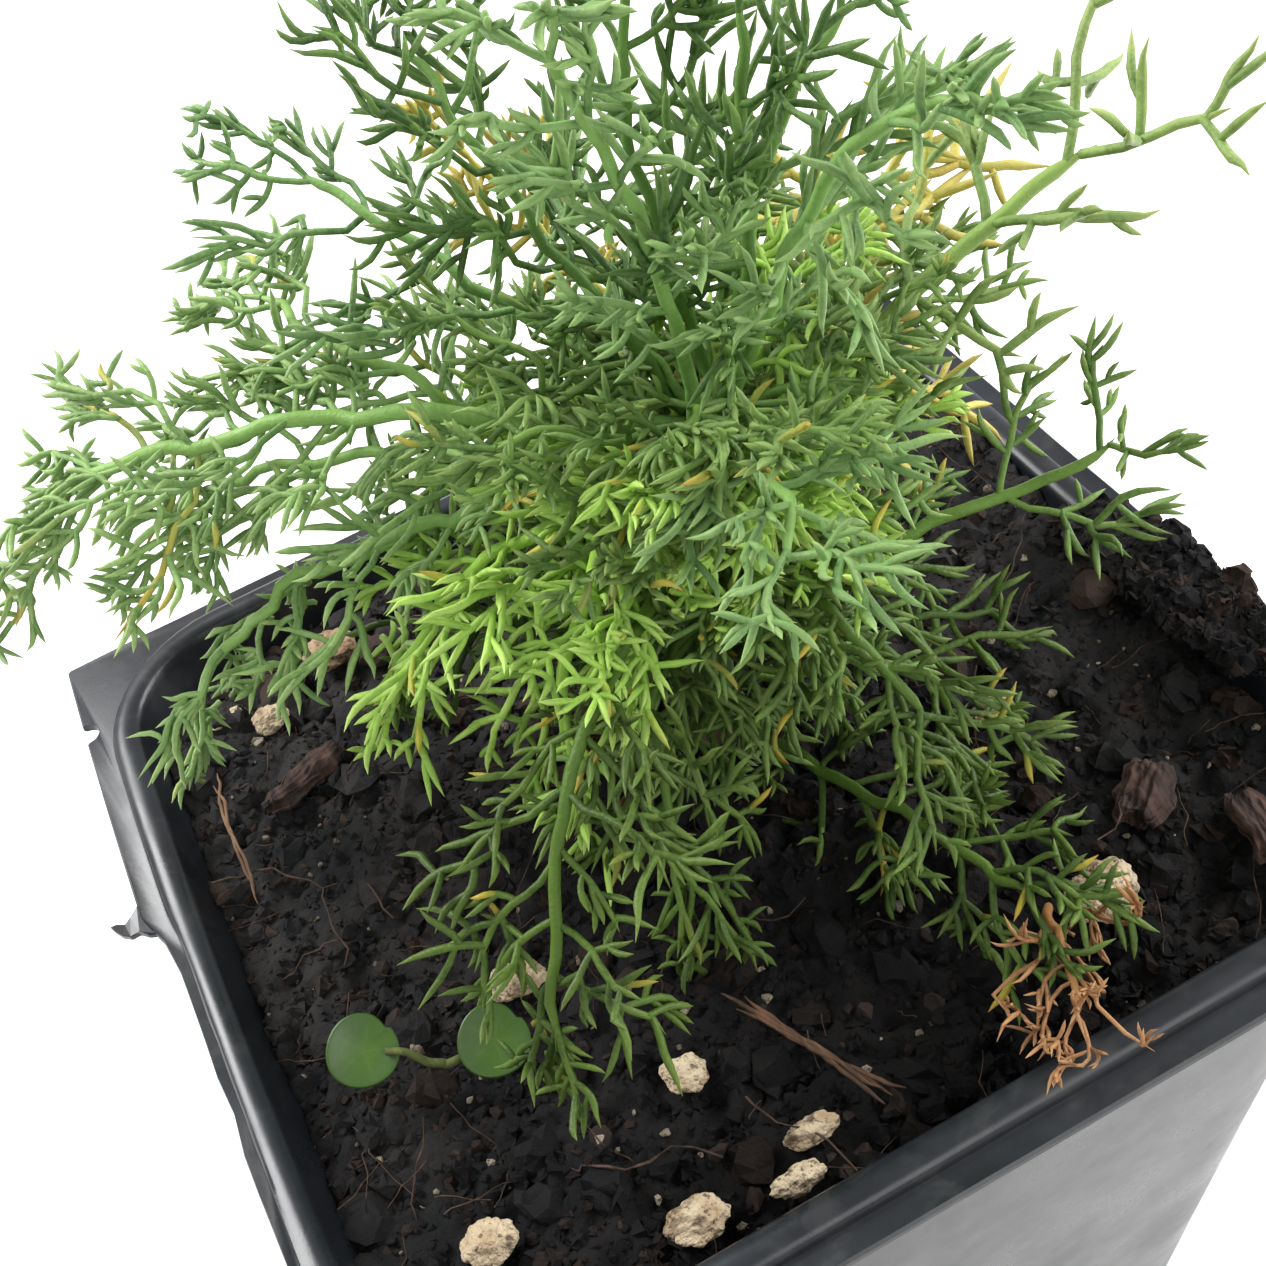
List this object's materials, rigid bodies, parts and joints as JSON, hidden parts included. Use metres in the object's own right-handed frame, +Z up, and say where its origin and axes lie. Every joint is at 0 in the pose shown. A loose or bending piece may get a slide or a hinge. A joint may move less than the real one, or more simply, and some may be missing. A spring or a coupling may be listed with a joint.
{
  "type": "potted chamomile",
  "caption": "Young feathery-leaved herb growing from dark compost in a square tapered plastic nursery pot with a beaded, flanged rim.",
  "frame": {"origin": "middle of the pot's underside, on the surface that it stands on", "axes": "+Z up, along the pot's height; X and Y square to the pot's sides, with -Y towards the front"},
  "size_m": [0.0929, 0.09, 0.1508],
  "materials": {
    "pot_plastic": "thin satin black recycled plastic with a dusty grey film and scuffs on the rim",
    "soil": "dark crumbly peat and bark compost, moist and rough",
    "stem": "pale green ribbed soft stem, satin",
    "green_leaf": "mid-green feathery leaf, satin, paler at the tips, lightly hairy",
    "yellow_leaf": "yellowed feathery leaf, satin",
    "dead_leaf": "dry orange-brown shrivelled leaf, matt",
    "perlite": "porous cream and tan mineral grain, matt, soil-stained",
    "bark": "split reddish-brown composted bark, matt",
    "dry_stalk": "dry brown fibrous strand, matt",
    "seedling": "fresh light-green smooth seed leaf, satin"
  },
  "bodies": {
    "root": {"bark_left": "bark", "bark_right": "bark", "bark_right_corner": "bark", "leaf_back": "green_leaf", "leaf_back_low": "green_leaf", "leaf_back_right": "green_leaf", "leaf_bright_centre": "green_leaf", "leaf_bright_left": "green_leaf", "leaf_dried_curl": "dead_leaf", "leaf_fallen_dead": "dead_leaf", "leaf_front_hanging": "green_leaf", "leaf_front_low": "green_leaf", "leaf_front_near": "green_leaf", "leaf_front_right": "green_leaf", "leaf_left_high": "green_leaf", "leaf_left_low": "green_leaf", "leaf_left_middle": "green_leaf", "leaf_left_under": "green_leaf", "leaf_lower_right": "green_leaf", "leaf_right": "green_leaf", "leaf_right_low": "green_leaf", "leaf_top_front": "green_leaf", "leaf_top_inner": "green_leaf", "leaf_top_left": "green_leaf", "leaf_top_middle": "green_leaf", "leaf_top_near": "green_leaf", "leaf_top_right": "green_leaf", "leaf_upper_left": "green_leaf", "leaf_upper_left_under": "green_leaf", "leaf_upper_right": "green_leaf", "leaf_upper_right_under": "green_leaf", "leaf_yellow_back": "yellow_leaf", "leaf_yellow_low": "yellow_leaf", "main_stem": "stem", "nursery_pot": "pot_plastic", "perlite_front_big": "perlite", "perlite_front_corner": "perlite", "perlite_front_crescent": "perlite", "perlite_front_oval": "perlite", "perlite_front_round": "perlite", "perlite_left_edge": "perlite", "perlite_left_large": "perlite", "perlite_left_small": "perlite", "perlite_right_brown": "perlite", "perlite_right_large": "perlite", "perlite_under_leaf": "perlite", "potting_soil": "soil", "seedling_leaf_left": "seedling", "seedling_leaf_right": "seedling", "seedling_stalk": "seedling", "soil_on_rim": "soil", "straw": "dry_stalk", "twig": "dry_stalk"}
  },
  "joints": []
}
